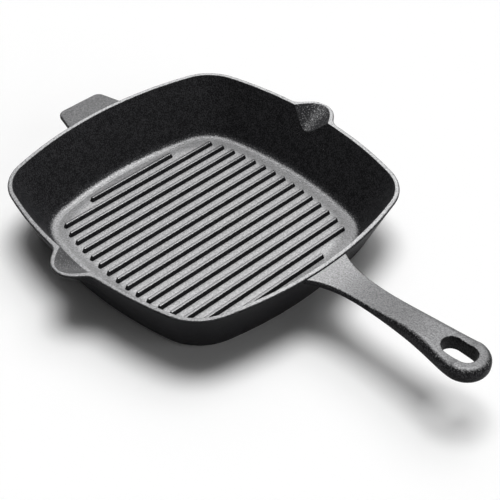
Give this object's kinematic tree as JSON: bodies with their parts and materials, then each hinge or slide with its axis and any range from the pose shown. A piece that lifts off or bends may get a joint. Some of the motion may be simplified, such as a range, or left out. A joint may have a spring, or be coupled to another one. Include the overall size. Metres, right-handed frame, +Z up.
{
  "type": "grill pan",
  "caption": "Square cast-iron grill pan with flared walls, a ribbed cooking floor, pouring lips, a long handle with a hang slot and a helper tab.",
  "frame": {"origin": "middle of the pan's flat underside, where it stands", "axes": "+X along the long handle, away from the pan; +Z up, out of the open pan; +Y towards the pouring lip on the right of someone who holds the handle"},
  "size_m": [0.4274, 0.2886, 0.0554],
  "materials": {
    "seasoned_iron": "satin, oil-seasoned black, with the fine grain of a sand casting"
  },
  "bodies": {
    "root": {"cooking_floor": "seasoned_iron", "side_wall": "seasoned_iron", "left_pour_lip": "seasoned_iron", "right_pour_lip": "seasoned_iron", "grill_ribs": "seasoned_iron", "long_handle": "seasoned_iron", "helper_tab": "seasoned_iron"}
  },
  "joints": []
}
